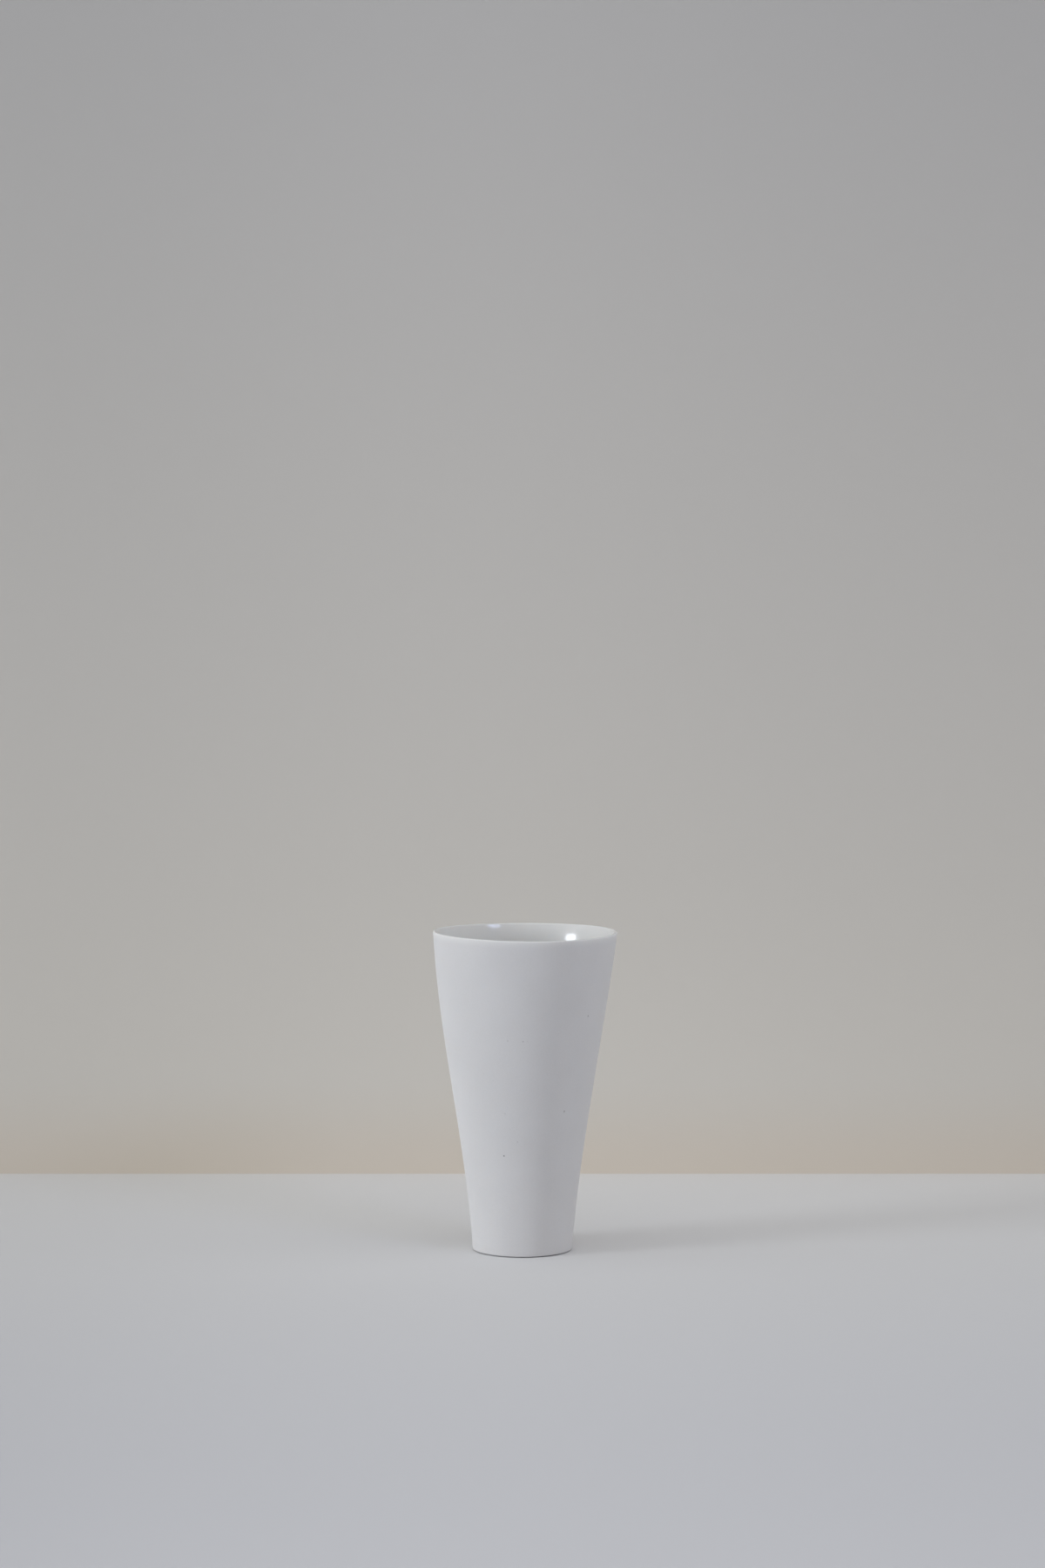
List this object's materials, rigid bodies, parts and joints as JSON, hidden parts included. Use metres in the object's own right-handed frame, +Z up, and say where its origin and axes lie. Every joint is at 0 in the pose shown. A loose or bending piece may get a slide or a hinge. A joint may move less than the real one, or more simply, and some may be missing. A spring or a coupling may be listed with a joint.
{
  "type": "porcelain tumbler",
  "caption": "Slim tapered porcelain tumbler with a gently curved wall, thin rounded lip and small flat foot, matte outside and glazed inside, for drinking from.",
  "frame": {"origin": "centre of the foot ring, on the plane that the tumbler stands on", "axes": "+Z up along the axis that the section is turned about; X and Y are alike"},
  "size_m": [0.078, 0.078, 0.136],
  "materials": {
    "porcelain": "matte unglazed outside, clear glossy glaze inside"
  },
  "bodies": {
    "root": {"tumbler": "porcelain"}
  },
  "joints": []
}
